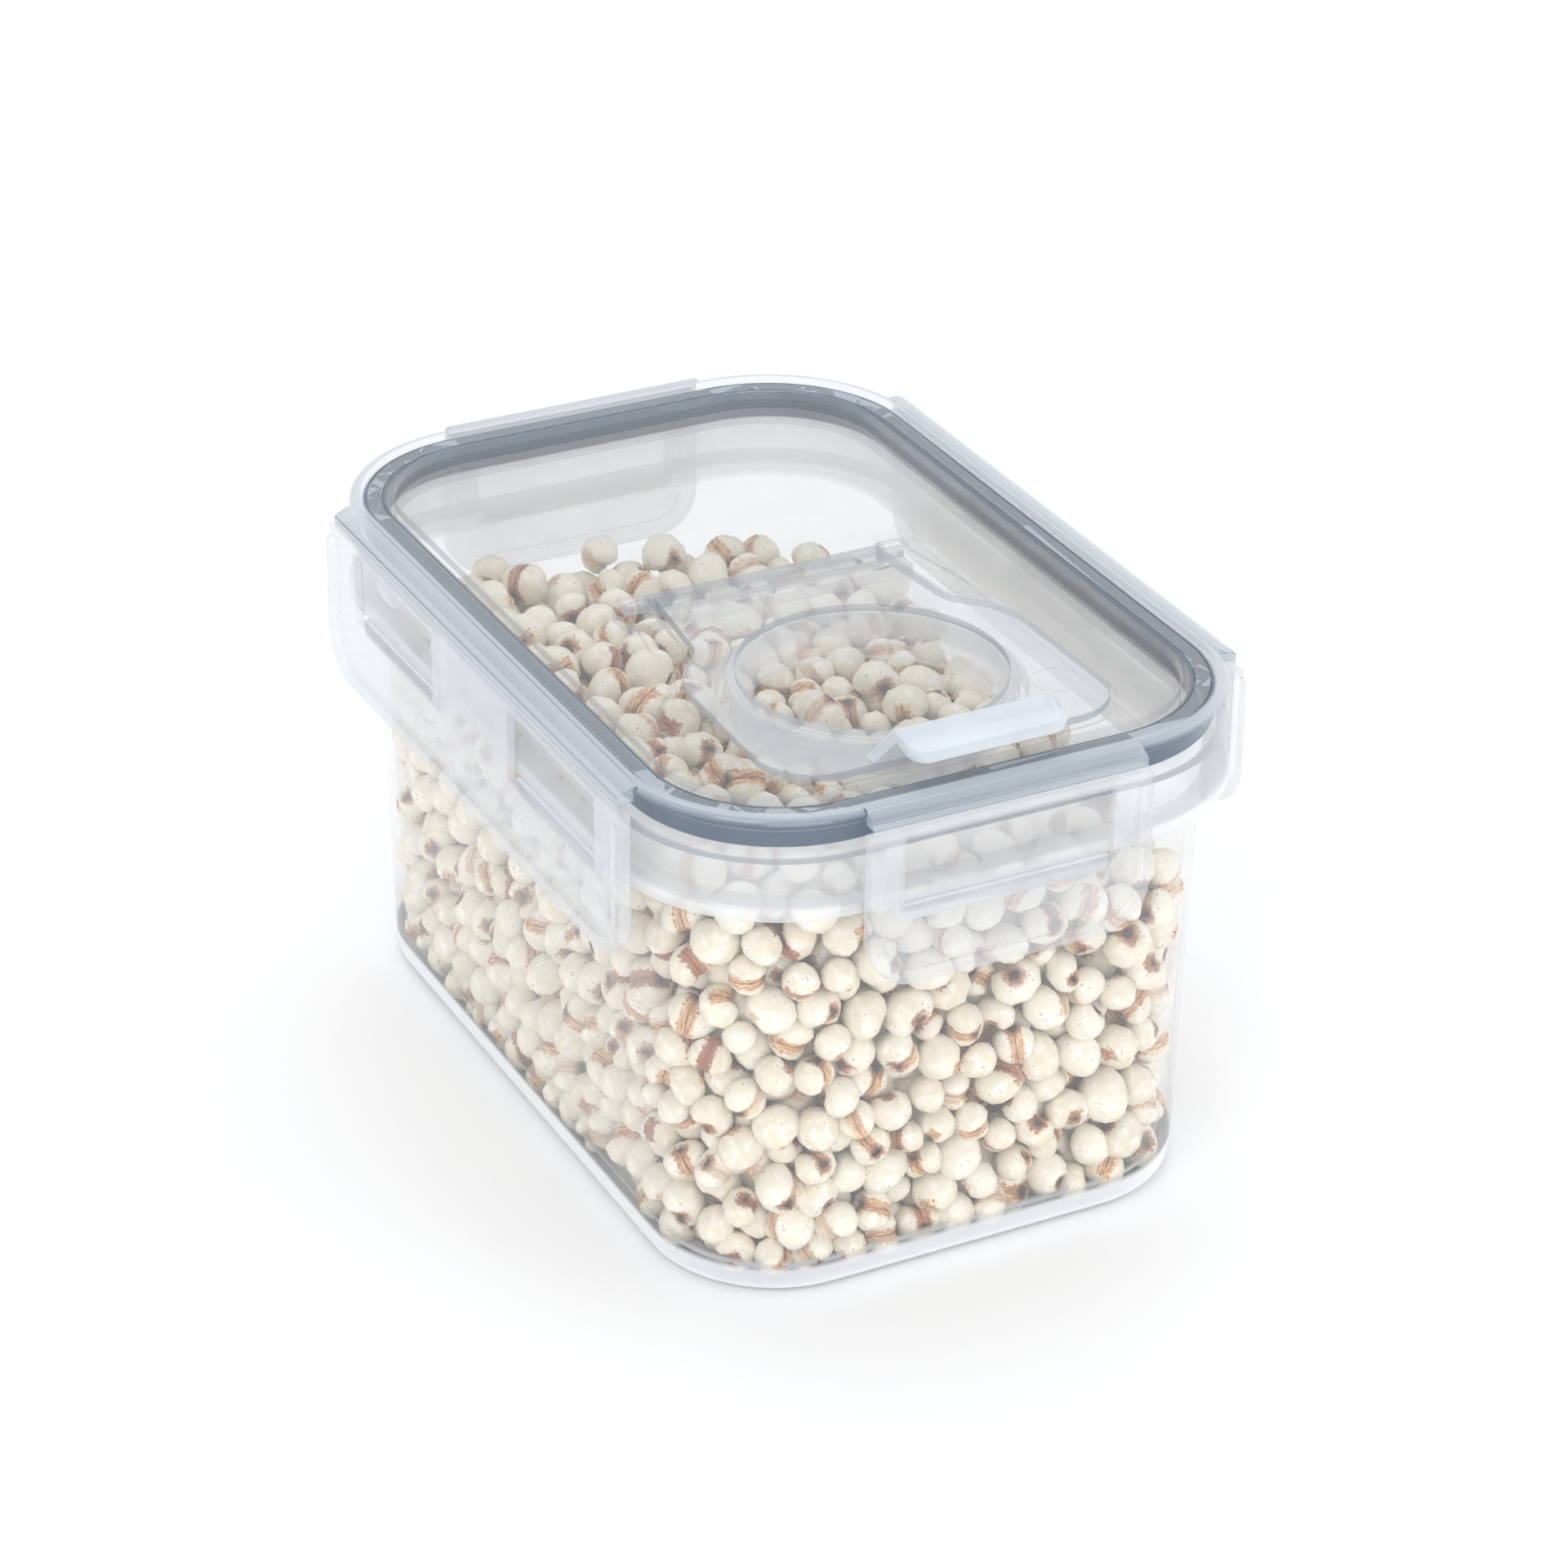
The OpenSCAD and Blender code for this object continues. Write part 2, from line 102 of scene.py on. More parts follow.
def add(tree, kind, inputs=None, **settings):
    """Adds one node with its settings; an input that is a socket is linked."""
    node = tree.nodes.new("ShaderNode" + kind)
    for name, value in settings.items():
        setattr(node, name, value)
    for name, value in (inputs or {}).items():
        if isinstance(value, bpy.types.NodeSocket):
            tree.links.new(value, node.inputs[name])
        else:
            node.inputs[name].default_value = value
    return node


def upness(tree):
    """How far a face looks up, in the piece's own frame, so that it moves with the piece."""
    return add(tree, "SeparateXYZ", {0: add(tree, "TexCoord").outputs["Normal"]}).outputs[2]


def see_through(
    name, colour, veil, roughness=0.35, gloss_roughness=0.08, grain=0.0, shade=None, thick=None,
):
    """A clear moulding: what is behind shows unbent under a milky veil that thickens a little
    where the wall is seen edge-on, with the surface's own gloss on top. shade is the colour of
    the painted shade on the faces that look sideways. thick is (veil, where), for a place whose veil
    is denser, partly where the plastic scatters more and partly as painted light and shade."""
    material, tree = blank(name)
    facing = add(tree, "LayerWeight", {"Blend": 0.5}).outputs["Facing"]
    toward = add(tree, "Math", {0: 1.5, 1: facing}, operation="SUBTRACT").outputs[0]
    place = add(tree, "TexCoord").outputs["Object"]
    flow = add(tree, "TexNoise", {"Vector": place, "Scale": 1 / (11 * MM), "Detail": 0.0}).outputs["Fac"]
    milky = add(
        tree, "MapRange",
        {"Value": flow, "From Min": 0.3, "From Max": 0.7, "To Min": veil * 0.9, "To Max": veil * 1.1},
    ).outputs["Result"]
    if thick:
        where = thick[1](tree, place)
        milky = add(
            tree, "MapRange", {"Value": where, "To Min": milky, "To Max": thick[0]}, clamp=False,
        ).outputs["Result"]
    cover = add(tree, "Math", {0: milky, 1: toward}, operation="DIVIDE", use_clamp=True).outputs[0]
    milk_inputs = {"Base Color": tone(colour), "Roughness": roughness, "Alpha": cover}
    shine_inputs = {"Color": (1, 1, 1, 1), "Roughness": gloss_roughness}
    if grain:
        dimple = add(tree, "TexNoise", {"Vector": place, "Scale": 1 / (0.5 * MM), "Detail": 0.0})
        bump = add(
            tree, "Bump", {"Height": dimple.outputs["Fac"], "Strength": grain, "Distance": 0.02 * MM},
        ).outputs["Normal"]
        milk_inputs["Normal"] = bump
        shine_inputs["Normal"] = bump
    # Faces that look sideways take the shade colour: painted shade, greyer than the tops, that draws the
    # clear walls' outlines.
    if shade:
        way = upness(tree)
        upward = add(tree, "MapRange", {"Value": way, "From Min": 0.45, "From Max": 0.95}).outputs["Result"]
        colour_with_painted_side_shade = add(tree, "Mix", {0: upward, 6: tone(shade), 7: tone(colour)}, data_type="RGBA").outputs[2]
        milk_inputs["Base Color"] = colour_with_painted_side_shade
    milk = add(tree, "BsdfPrincipled", milk_inputs)
    shine = add(tree, "BsdfGlossy", shine_inputs, distribution="GGX")
    steep = add(tree, "Math", {0: facing, 1: 5.0}, operation="POWER").outputs[0]
    mirror = add(tree, "Math", {0: steep, 1: 0.8, 2: 0.035}, operation="MULTIPLY_ADD").outputs[0]
    mix = add(tree, "MixShader", {0: mirror, 1: milk.outputs[0], 2: shine.outputs[0]})
    add(tree, "OutputMaterial", {"Surface": mix.outputs[0]})
    return material


def above(low, high):
    """Where a place's height passes from low to high (mm)."""
    def where(tree, place):
        height = add(tree, "SeparateXYZ", {0: place}).outputs[2]
        return add(
            tree, "MapRange", {"Value": height, "From Min": low * MM, "From Max": high * MM},
        ).outputs["Result"]
    return where


def neck_or_foot(tree, place):
    """The tub's neck and flange, and its foot where wall and floor meet."""
    neck = above(71.2, 72.0)(tree, place)
    # The foot's denser veil, up to 5.4 mm, is partly the thicker plastic's haze and partly painted light: a
    # bright veil over the shaded floor behind it.
    foot = above(5.4, 4.2)(tree, place)
    return add(tree, "Math", {0: foot, 1: 1.9, 2: neck}, operation="MULTIPLY_ADD").outputs[0]


def sideways(tree, place):
    """Faces that stand upright, through which the wall is seen at its full depth. The denser
    veil there is partly that depth and partly painted shade that draws the walls' outlines.
    """
    way = upness(tree)
    slope = add(tree, "Math", {0: way}, operation="ABSOLUTE").outputs[0]
    return add(tree, "MapRange", {"Value": slope, "From Min": 0.8, "From Max": 0.4}).outputs["Result"]


def rim_top(tree, place):
    """The lid's upper side outside the gasket ring, the ribs that the latches hang from, and
    the upright walls inside the ring. The denser veil there is painted light and shade, standing in
    for the light that the thick clear rim bends."""
    size = add(tree, "VectorMath", {0: place}, operation="ABSOLUTE").outputs[0]
    over = add(tree, "VectorMath", {0: size, 1: (CORE_X, CORE_Y, 1.0)}, operation="SUBTRACT").outputs[0]
    out = add(tree, "VectorMath", {0: over, 1: (0.0, 0.0, 0.0)}, operation="MAXIMUM").outputs[0]
    reach = add(tree, "VectorMath", {0: out}, operation="LENGTH").outputs["Value"]
    outside = add(
        tree, "MapRange",
        {"Value": reach, "From Min": GASKET_OUT_R + 0.1 * MM, "From Max": GASKET_OUT_R + 0.6 * MM},
    ).outputs["Result"]
    way = upness(tree)
    up = add(tree, "MapRange", {"Value": way, "From Min": 0.2, "From Max": 0.7}).outputs["Result"]
    rim = add(tree, "Math", {0: outside, 1: up}, operation="MULTIPLY").outputs[0]
    rib = add(
        tree, "MapRange",
        {"Value": reach, "From Min": SKIRT_R + 0.1 * MM, "From Max": SKIRT_R + 0.4 * MM, "To Max": 0.75},
    ).outputs["Result"]
    inside = add(
        tree, "MapRange",
        {"Value": reach, "From Min": GASKET_IN_R + 0.1 * MM, "From Max": GASKET_IN_R, "To Max": 0.38},
    ).outputs["Result"]
    upright = add(tree, "Math", {0: sideways(tree, place), 1: inside}, operation="MULTIPLY").outputs[0]
    edge = add(tree, "Math", {0: rim, 1: rib}, operation="MAXIMUM").outputs[0]
    return add(tree, "Math", {0: edge, 1: upright}, operation="MAXIMUM").outputs[0]


def cup_wall(tree, place):
    """The plug's wall, outside its clear window."""
    middle = ((PLUG_LOW.x + PLUG_HIGH.x) / 2, (PLUG_LOW.y + PLUG_HIGH.y) / 2, 0.0)
    flat = add(tree, "VectorMath", {0: place, 1: (1.0, 1.0, 0.0)}, operation="MULTIPLY").outputs[0]
    reach = add(tree, "VectorMath", {0: flat, 1: middle}, operation="DISTANCE").outputs["Value"]
    edge = (PLUG_HIGH.x - PLUG_LOW.x) / 2
    return add(
        tree, "MapRange", {"Value": reach, "From Min": edge - 2.4 * MM, "From Max": edge - 1.8 * MM},
    ).outputs["Result"]


def silicone():
    """Moulded silicone rubber: slate blue, satin. Along the band between its two edges, which press
    against the rim, it is painted paler: a painted reflection of the air film between it and the lid."""
    material, tree = blank("silicone_rubber_moulded")
    place = add(tree, "TexCoord").outputs["Object"]
    cloud = add(tree, "TexNoise", {"Vector": place, "Scale": 1 / (4 * MM), "Detail": 4.0}).outputs["Fac"]
    shade = add(
        tree, "Mix", {0: cloud, 6: tone("2a4560"), 7: tone("35526d")}, data_type="RGBA",
    ).outputs[2]
    # Painted reflection: the pale band along the gasket's top, where an air film parts it from the lid.
    painted_reflection = add(tree, "Attribute", attribute_name="painted_reflection").outputs["Fac"]
    shade = add(tree, "Mix", {0: painted_reflection, 6: shade, 7: tone("b4bac2")}, data_type="RGBA").outputs[2]
    skin = add(tree, "TexNoise", {"Vector": place, "Scale": 1 / (0.3 * MM), "Detail": 2.0})
    bump = add(tree, "Bump", {"Height": skin.outputs["Fac"], "Strength": 0.3, "Distance": 0.02 * MM})
    body = add(
        tree, "BsdfPrincipled",
        {"Base Color": shade, "Roughness": 0.42, "Normal": bump.outputs["Normal"], "Sheen Weight": 0.15},
    )
    add(tree, "OutputMaterial", {"Surface": body.outputs[0]})
    return material


def hulled_kernel():
    """Hulled Job's tears: chalky cream seed with a fibrous brown crease and a dark hilum."""
    material, tree = blank("jobs_tears_hulled")
    spot = add(tree, "Attribute", attribute_name="kernel").outputs["Vector"]
    seed = add(tree, "Attribute", attribute_name="kernel_seed").outputs["Fac"]
    axes = add(tree, "SeparateXYZ", {0: spot}).outputs
    own = add(tree, "CombineXYZ", {0: seed, 1: seed, 2: seed}).outputs[0]
    far = add(tree, "VectorMath", {0: own, 1: (90.0, 170.0, 250.0)}, operation="MULTIPLY").outputs[0]
    moved = add(tree, "VectorMath", {0: spot, 1: far}, operation="ADD").outputs[0]
    blotch = add(tree, "TexNoise", {"Vector": moved, "Scale": 0.55, "Detail": 3.0}).outputs["Fac"]
    fleck = add(tree, "TexNoise", {"Vector": moved, "Scale": 1.7, "Detail": 3.0}).outputs["Fac"]
    drawn = add(tree, "VectorMath", {0: moved, 1: (1.0, 3.4, 0.35)}, operation="MULTIPLY").outputs[0]
    fibre = add(
        tree, "TexNoise", {"Vector": drawn, "Scale": 1.0, "Detail": 4.0, "Roughness": 0.7},
    ).outputs["Fac"]
    # Cream flour under a thin hull, chalkier on some kernels
    cream = add(tree, "Mix", {0: seed, 6: tone("f7f0de"), 7: tone("ece0c6")}, data_type="RGBA").outputs[2]
    pale = add(tree, "MapRange", {"Value": blotch, "From Min": 0.42, "From Max": 0.7}).outputs["Result"]
    flour = add(tree, "Mix", {0: pale, 6: cream, 7: tone("fffcf3")}, data_type="RGBA").outputs[2]
    # The crease: a broad band down one side
    side = add(tree, "Math", {0: axes[1]}, operation="ABSOLUTE").outputs[0]
    ragged = add(tree, "Math", {0: fleck, 1: 2.4, 2: side}, operation="MULTIPLY_ADD").outputs[0]
    band = add(
        tree, "MapRange", {"Value": ragged, "From Min": 2.75, "From Max": 2.2},
        interpolation_type="SMOOTHSTEP",
    ).outputs["Result"]
    torn_end = add(tree, "Math", {0: fleck, 1: -2.4, 2: axes[0]}, operation="MULTIPLY_ADD").outputs[0]
    front = add(tree, "MapRange", {"Value": torn_end, "From Min": -2.2, "From Max": -1.7}).outputs["Result"]
    crease = add(tree, "Math", {0: band, 1: front}, operation="MULTIPLY").outputs[0]
    strong = add(
        tree, "MapRange", {"Value": seed, "From Min": 0.0, "From Max": 0.3, "To Min": 0.5},
    ).outputs["Result"]
    crease = add(tree, "Math", {0: crease, 1: strong}, operation="MULTIPLY").outputs[0]
    husk = add(tree, "MapRange", {"Value": fibre, "From Min": 0.38, "From Max": 0.62}).outputs["Result"]
    warm = add(tree, "Mix", {0: husk, 6: tone("b36b3c"), 7: tone("f4d2a4")}, data_type="RGBA").outputs[2]
    redder = add(
        tree, "MapRange", {"Value": seed, "From Min": 0.7, "From Max": 0.95, "To Max": 0.8},
    ).outputs["Result"]
    warm = add(tree, "Mix", {0: redder, 6: warm, 7: tone("99503c")}, data_type="RGBA").outputs[2]
    cleft = add(tree, "Math", {0: fibre, 1: 0.9, 2: side}, operation="MULTIPLY_ADD").outputs[0]
    cleft = add(
        tree, "MapRange", {"Value": cleft, "From Min": 0.75, "From Max": 0.5, "To Max": 0.75},
    ).outputs["Result"]
    warm = add(tree, "Mix", {0: cleft, 6: warm, 7: tone("7d4127")}, data_type="RGBA").outputs[2]
    striped = add(tree, "Mix", {0: crease, 6: flour, 7: warm}, data_type="RGBA").outputs[2]
    # Scattered brown flecks where hull still clings
    cling = add(
        tree, "MapRange", {"Value": fleck, "From Min": 0.6, "From Max": 0.66, "To Max": 0.7},
    ).outputs["Result"]
    patch = add(tree, "MapRange", {"Value": blotch, "From Min": 0.52, "From Max": 0.6}).outputs["Result"]
    cling = add(tree, "Math", {0: cling, 1: patch}, operation="MULTIPLY").outputs[0]
    striped = add(tree, "Mix", {0: cling, 6: striped, 7: tone("b98a5f")}, data_type="RGBA").outputs[2]
    # The hilum: a dark scar at the base of the crease with a brown stain round it
    scar = add(tree, "VectorMath", {0: spot, 1: (1.1, 0.0, -3.0)}, operation="DISTANCE").outputs["Value"]
    torn = add(tree, "Math", {0: fleck, 1: 1.6, 2: scar}, operation="MULTIPLY_ADD").outputs[0]
    stain = add(
        tree, "MapRange", {"Value": torn, "From Min": 2.9, "From Max": 2.1, "To Max": 0.8},
    ).outputs["Result"]
    stained = add(tree, "Mix", {0: stain, 6: striped, 7: tone("9b6240")}, data_type="RGBA").outputs[2]
    dark = add(tree, "MapRange", {"Value": torn, "From Min": 1.9, "From Max": 1.55}).outputs["Result"]
    colour = add(tree, "Mix", {0: dark, 6: stained, 7: tone("43322f")}, data_type="RGBA").outputs[2]
    rough = add(tree, "Bump", {"Height": fleck, "Strength": 0.25, "Distance": 0.15 * MM})
    body = add(
        tree, "BsdfPrincipled",
        {"Base Color": colour, "Roughness": 0.5, "Normal": rough.outputs["Normal"]},
    )
    add(tree, "OutputMaterial", {"Surface": body.outputs[0]})
    return material


def studio_white(name, colour):
    """Matte studio paper."""
    material, tree = blank(name)
    body = add(tree, "BsdfPrincipled", {"Base Color": tone(colour), "Roughness": 0.9})
    add(tree, "OutputMaterial", {"Surface": body.outputs[0]})
    return material


TUB = see_through("polypropylene_clear_moulded", "eff1f3", 0.07, thick=(0.5, neck_or_foot))
# The edge materials go on rounded edges: denser, whiter veils that paint highlight lines there, greyer as
# painted shade where an edge faces sideways.
TUB_EDGE_PAINTED_LIGHT = see_through("polypropylene_clear_edge_painted_light", "f2f4f6", 0.5, shade="b5bec8")
LID = see_through("polypropylene_clear_lid", "c9ced3", 0.06, shade="c3cad2", thick=(0.72, rim_top))
LID_EDGE_PAINTED_LIGHT = see_through("polypropylene_clear_lid_edge_painted_light", "fafbfc", 0.85, shade="8e9cab")
THIN = see_through("polypropylene_milky_thin_wall", "e6e9ec", 0.18, shade="a1adb9", thick=(0.6, sideways))
CUP = see_through("polypropylene_milky_cup", "eceef1", 0.06, thick=(0.46, cup_wall))
THIN_EDGE_PAINTED_LIGHT = see_through("polypropylene_milky_thin_edge_painted_light", "fdfdfe", 0.95, shade="9eaab7")
MILKY = see_through("polypropylene_milky_moulded", "dfe3e8", 0.29, 0.4, 0.14, 0.12)
MILKY_EDGE_PAINTED_LIGHT = see_through("polypropylene_milky_edge_painted_light", "f8fafc", 0.9, shade="dfe6ee")
TAB = see_through("polypropylene_milky_tab", "e4eaf0", 0.6, 0.4, 0.14, 0.12)
# A dense grey veil for the wall of the thumb rest: a painted shade line round it.
TAB_PAINTED_SHADE_LINE = see_through("polypropylene_milky_groove_painted_shade", "b4c0cc", 0.9)
# A whiter, denser veil for the catches: painted light that lifts them out of the shade under the latches and
# lid.
CATCH_PAINTED_LIGHT = see_through("polypropylene_milky_thick", "f6f9fc", 0.75, 0.4, 0.14, 0.12)
SILICONE = silicone()
KERNEL = hulled_kernel()


# ---- Mouldings ----

SHARP = math.radians(24)
HOLLOW = 0.21 * MM  # inside corners take no larger rounding, so moving parts stay clear


def placed(bm, name, body, materials, slot, *stands_for):
    """Makes a finished piece of bm: smooth, with its place in its mesh, riding on a body."""
    mesh = bpy.data.meshes.new(name)
    bm.to_mesh(mesh)
    bm.free()
    mesh.shade_smooth()
    mesh.set_sharp_from_angle(angle=math.radians(40))
    mesh.materials.clear()
    for material in materials:
        mesh.materials.append(material)
    piece = bpy.data.objects.new(name, mesh)
    bpy.context.scene.collection.objects.link(piece)
    even = piece.modifiers.new("even_shading", "WEIGHTED_NORMAL")
    even.keep_sharp = True
    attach(piece, body)
    if stands_for:
        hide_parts(*stands_for)


def merged(node):
    """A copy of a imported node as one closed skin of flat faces."""
    bm = bmesh.new()
    bm.from_mesh(frame["nodes"][node].data)
    bmesh.ops.remove_doubles(bm, verts=bm.verts, dist=0.001 * MM)
    bmesh.ops.dissolve_limit(bm, angle_limit=math.radians(0.5), verts=bm.verts, edges=bm.edges)
    return bm


def room(edge, edges):
    """How far an edge can be rounded before it meets another."""
    least = 1.0
    for end in edge.verts:
        way = (edge.other_vert(end).co - end.co).normalized()
        for face in edge.link_faces:
            for side in face.edges:
                if side is edge or end not in side.verts:
                    continue
                far = side.other_vert(end)
                across = way.dot((far.co - end.co).normalized())
                if across < -0.85:
                    continue
                share = 0.5 if any(e in edges for e in far.link_edges if e is not side) else 1.0
                least = min(least, side.calc_length() * math.sqrt(max(0, 1 - across * across)) * share)
    return least


def soften(bm, radius):
    """Rounds the sharp edges, as the mould does, and those in tight places with a smaller
    radius. The rounded faces take the second material, a denser, whiter veil that paints highlight
    lines along the edges, greyer as painted shade where they face sideways."""
    bmesh.ops.remove_doubles(bm, verts=bm.verts, dist=0.03 * MM)
    bmesh.ops.dissolve_degenerate(bm, edges=bm.edges, dist=0.001 * MM)
    for size in (radius, radius * 0.5, radius * 0.25):
        edges = {
            e for e in bm.edges
            if e.is_manifold and e.calc_face_angle(0) > SHARP
            and not any(f.material_index for f in e.link_faces)
        }
        roomy = [e for e in edges if room(e, edges) > size and (e.is_convex or size < HOLLOW)]
        made = bmesh.ops.bevel(
            bm, geom=roomy, offset=size, offset_type="OFFSET", segments=3, profile=0.5,
            affect="EDGES", clamp_overlap=False, material=-1,
        )
        for face in made["faces"]:
            face.material_index = 1


BODY_OF = {n: b for b, nodes in frame["record"]["behaviour"]["bodies"].items() for n in nodes}
SLOT_OF = {entry["node"]: entry["material_slot"] for entry in frame["record"]["subparts"]}


def moulding(node, materials, radius, detail=None):
    """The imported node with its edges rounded, in its finish."""
    bm = merged(node)
    if detail:
        detail(bm)
    soften(bm, radius)
    low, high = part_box(node)
    for v in bm.verts:
        v.co = Vector([min(max(v.co[i], low[i]), high[i]) for i in range(3)])
    placed(bm, "moulded_" + node, BODY_OF[node], materials, SLOT_OF[node], node)


def recess_lip(bm):
    """The rounded lip round the lid's recess takes the lid's edge material: a painted highlight
    line, greyer as painted shade where it faces sideways.
    """
    for face in bm.faces:
        middle = face.calc_center_median()
        reach = math.hypot(max(abs(middle.x) - CORE_X, 0), max(abs(middle.y) - CORE_Y, 0))
        if middle.z > RIM_Z - 0.65 * MM and reach < GASKET_IN_R and 0.02 < abs(face.normal.z) < 0.98:
            face.material_index = 1


def thumb_rest(bm):
    """The shallow rest sunk in the top of the thumb tab."""
    top = max((f for f in bm.faces if f.normal.z > 0.3), key=lambda f: f.calc_area())
    bmesh.ops.inset_individual(bm, faces=[top], thickness=1.3 * MM, depth=0.0)
    wall = bmesh.ops.inset_individual(bm, faces=[top], thickness=0.3 * MM, depth=-0.2 * MM)["faces"]
    # The rest's wall takes the third material: a painted shade line round the rest.
    for face in wall:
        face.material_index = 2


def ejector_mark(name, x, y, across):
    """The fine ring that a mould's ejector pin leaves on the flap. Its place and width are in mm."""
    bm = bmesh.new()
    half, proud = 0.16 * MM, 0.05 * MM
    section = ((-half, -proud), (half, -proud), (half * 0.5, proud), (-half * 0.5, proud))
    edge = x * MM + across * MM / 2
    ring = [bm.verts.new((edge + r, y * MM, FLAP_Z + z)) for r, z in section]
    loop = [bm.edges.new((ring[i - 1], ring[i])) for i in range(4)]
    bmesh.ops.spin(
        bm, geom=ring + loop, cent=(x * MM, y * MM, 0), axis=(0, 0, 1), dvec=(0, 0, 0),
        angle=2 * math.pi, steps=48, use_merge=True, use_duplicate=False,
    )
    bmesh.ops.recalc_face_normals(bm, faces=bm.faces)
    placed(bm, name, "flap", [THIN], "milky_pp")


def around(section, band):
    """Sweeps a closed section of (distance from the corner centres, height) round the
    rounded rectangle that all the rings share. band gives each point how much of the gasket's
    painted reflection its faces take."""
    bm = bmesh.new()
    painted_reflection = bm.verts.layers.float.new("painted_reflection")
    points = [bm.verts.new((CORE_X + r, 0, z)) for r, z in section]
    for point, value in zip(points, band):
        point[painted_reflection] = value
    loop = [bm.edges.new((points[i - 1], points[i])) for i in range(len(points))]
    side = bmesh.ops.extrude_edge_only(bm, edges=loop)["geom"]
    bmesh.ops.translate(bm, vec=(0, CORE_Y, 0), verts=[g for g in side if isinstance(g, bmesh.types.BMVert)])
    turned = bmesh.ops.spin(
        bm, geom=[g for g in side if isinstance(g, (bmesh.types.BMVert, bmesh.types.BMEdge))],
        cent=(CORE_X, CORE_Y, 0), axis=(0, 0, 1), dvec=(0, 0, 0), angle=math.pi / 2, steps=20,
        use_merge=False, use_duplicate=False,
    )["geom_last"]
    last = [g for g in turned if isinstance(g, bmesh.types.BMEdge)]
    end = bmesh.ops.extrude_edge_only(bm, edges=last)["geom"]
    bmesh.ops.translate(bm, vec=(-CORE_X, 0, 0), verts=[g for g in end if isinstance(g, bmesh.types.BMVert)])
    for axis in ("X", "Y"):
        bmesh.ops.mirror(bm, geom=list(bm.verts) + list(bm.edges) + list(bm.faces),
                         matrix=Matrix.Identity(4), merge_dist=0.001 * MM, axis=axis)
    bmesh.ops.remove_doubles(bm, verts=bm.verts, dist=0.001 * MM)
    bmesh.ops.recalc_face_normals(bm, faces=bm.faces)
    return bm


def gasket():
    """The gasket ring: soft shoulders, a thin groove round its outer face and a slot below
    that the tub's mouth presses into."""
    low, high = GASKET_LOW.z, GASKET_HIGH.z
    out, inside = GASKET_OUT_R, GASKET_IN_R
    slot_out, slot_in, slot_top = 24.35 * MM, 22.35 * MM, MOUTH_Z
    shoulder, lead = 0.45 * MM, 0.25 * MM
    groove_z, groove_half, groove_depth = high - 2.3 * MM, 0.25 * MM, 0.3 * MM
    # Where the painted reflection lies along the gasket's top, between the two edges that press against the
    # rim.
    painted_reflection_from, painted_reflection_to = inside + 0.9 * MM, out - 0.9 * MM
    section = [
        (slot_in, low, 0), (slot_in, slot_top, 0), (slot_out, slot_top, 0), (slot_out, low, 0),
        (out - lead, low, 0), (out, low + lead, 0),
        # The groove's bottom takes half the painted reflection: a painted highlight line round the outer
        # face.
        (out, groove_z - groove_half, 0), (out - groove_depth, groove_z, 0.5),
        (out, groove_z + groove_half, 0),
        (out, high - shoulder, 0), (out - shoulder * 0.3, high - shoulder * 0.3, 0),
        (out - shoulder, high, 0), (painted_reflection_to + 0.3 * MM, high, 0), (painted_reflection_to, high, 1),
        (painted_reflection_from, high, 1), (painted_reflection_from - 0.3 * MM, high, 0), (inside + shoulder, high, 0),
        (inside + shoulder * 0.3, high - shoulder * 0.3, 0), (inside, high - shoulder, 0),
        (inside, low + lead, 0), (inside + lead, low, 0),
    ]
    bm = around([(r, z) for r, z, _ in section], [b for _, _, b in section])
    placed(bm, "gasket_ring", "lid", [SILICONE], "silicone", "lid_gasket")


def dress(node, material):
    """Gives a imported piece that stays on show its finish."""
    piece = frame["nodes"][node]
    piece.data.materials.clear()
    piece.data.materials.append(material)


moulding("container", [TUB, TUB_EDGE_PAINTED_LIGHT], 0.3 * MM)
moulding("lid", [LID, LID_EDGE_PAINTED_LIGHT], 0.4 * MM, recess_lip)
gasket()
moulding("pour_flap", [THIN, THIN_EDGE_PAINTED_LIGHT], 0.4 * MM)
moulding("flap_plug", [CUP, THIN_EDGE_PAINTED_LIGHT], 0.35 * MM)
moulding("thumb_tab", [TAB, MILKY_EDGE_PAINTED_LIGHT, TAB_PAINTED_SHADE_LINE], 0.6 * MM, thumb_rest)
ejector_mark("ejector_mark_hinge", -15.7, -4.7, 6)
ejector_mark("ejector_mark_left", -23.5, -52, 8)
ejector_mark("ejector_mark_right", 23.5, -52, 8)
for side in ("front", "back", "left", "right"):
    moulding("latch_" + side, [MILKY, MILKY_EDGE_PAINTED_LIGHT], 0.35 * MM)

# Imported pieces still on show: the catches take their painted light, the others the milky finish.
for node in sorted(frame["nodes"]):
    if not frame["nodes"][node].hide_render:
        dress(node, CATCH_PAINTED_LIGHT if node.startswith("catch") else MILKY)


# ---- Kernels ----

KERNEL_R = 3.75  # mm, half a kernel's mean size
KERNEL_HALF = (3.5, 4.1, 3.7)  # mm, through the crease, across it, and along the kernel
CREASE_DEPTH = 1.15  # mm
CREASE_HALF = 1.15  # mm
LIP_HEIGHT = 0.35  # mm, how far the crease's two lips stand up
LIP_PLACE = 2.3  # mm from the crease's middle
KERNEL_LAYERS_SEEN = 16.0  # mm, kernels deeper than this below every face of the heap never show
SETTLE_STEPS = 90
GRID_STEP = 6.7  # mm between kernels before they settle
NEIGHBOUR_REACH = 9.5  # mm, pairs further apart than this are left alone for a few steps
CLOSE = 0.97  # share of two radii at which neighbours rest
PUSH = 0.42  # share of an overlap that each of two kernels gives way in one step
WALL_REST = 0.84  # share of its radius that a kernel keeps from the wall
FLOOR_REST = 0.74  # share of its radius that a kernel keeps from the floor


